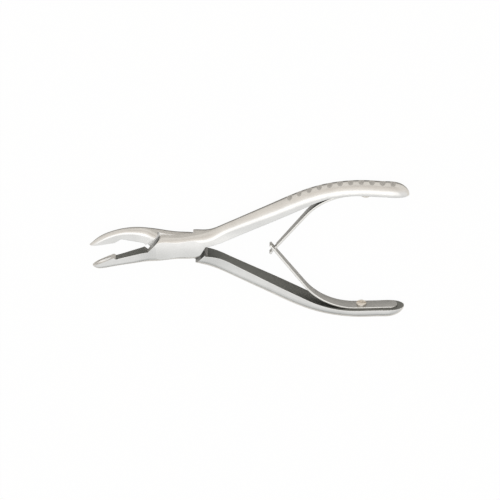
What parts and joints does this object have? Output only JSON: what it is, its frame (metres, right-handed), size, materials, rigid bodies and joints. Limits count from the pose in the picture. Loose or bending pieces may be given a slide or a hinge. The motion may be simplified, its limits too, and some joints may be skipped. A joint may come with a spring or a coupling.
{
  "type": "bone rongeur",
  "caption": "Single-action bone rongeur: curved cupped jaws, a screwed lap joint, a grooved handle and interlocked leaf springs that hold it open.",
  "frame": {"origin": "on the pivot axis, at the flat far cheek that the instrument lies on", "axes": "+Z along the pivot axis, up from the resting face; +X from the pivot towards the handles, along the line midway between them; +Y towards the grooved handle"},
  "size_m": [0.1404, 0.0696, 0.009],
  "materials": {
    "forged_steel": "satin, fine brushed stainless steel",
    "spring_steel": "satin spring steel, a little darker than the forgings",
    "screw_steel": "turned stainless steel"
  },
  "bodies": {
    "lower_half": {"lower_handle_half": "forged_steel", "lower_spring_screw": "screw_steel"},
    "upper_half": {"upper_handle_half": "forged_steel", "joint_screw": "screw_steel", "upper_spring_screw": "screw_steel"},
    "upper_leaf": {"upper_leaf_spring": "spring_steel"},
    "lower_leaf": {"lower_leaf_spring": "spring_steel"}
  },
  "joints": [
    {"name": "jaw_hinge", "type": "hinge", "parent": "lower_half", "child": "upper_half", "pos_m": [0, 0, 0], "axis": [0, 0, 1], "range_deg": [-15.5, 0], "stiffness_Nm_per_rad": 4},
    {"name": "upper_leaf_flex", "type": "hinge", "parent": "upper_half", "child": "upper_leaf", "pos_m": [0.0675, 0.0268, 0], "axis": [0, 0, 1], "range_deg": [-11.1, 0], "deforming": ["upper_leaf_spring"]},
    {"name": "lower_leaf_flex", "type": "hinge", "parent": "lower_half", "child": "lower_leaf", "pos_m": [0.0675, -0.0268, 0], "axis": [0, 0, 1], "range_deg": [0, 11.1], "deforming": ["lower_leaf_spring"]}
  ],
  "couplings": [
    {"joint": "upper_leaf_flex", "follows": "jaw_hinge", "ratio": 0.7155},
    {"joint": "lower_leaf_flex", "follows": "jaw_hinge", "ratio": -0.7155}
  ]
}
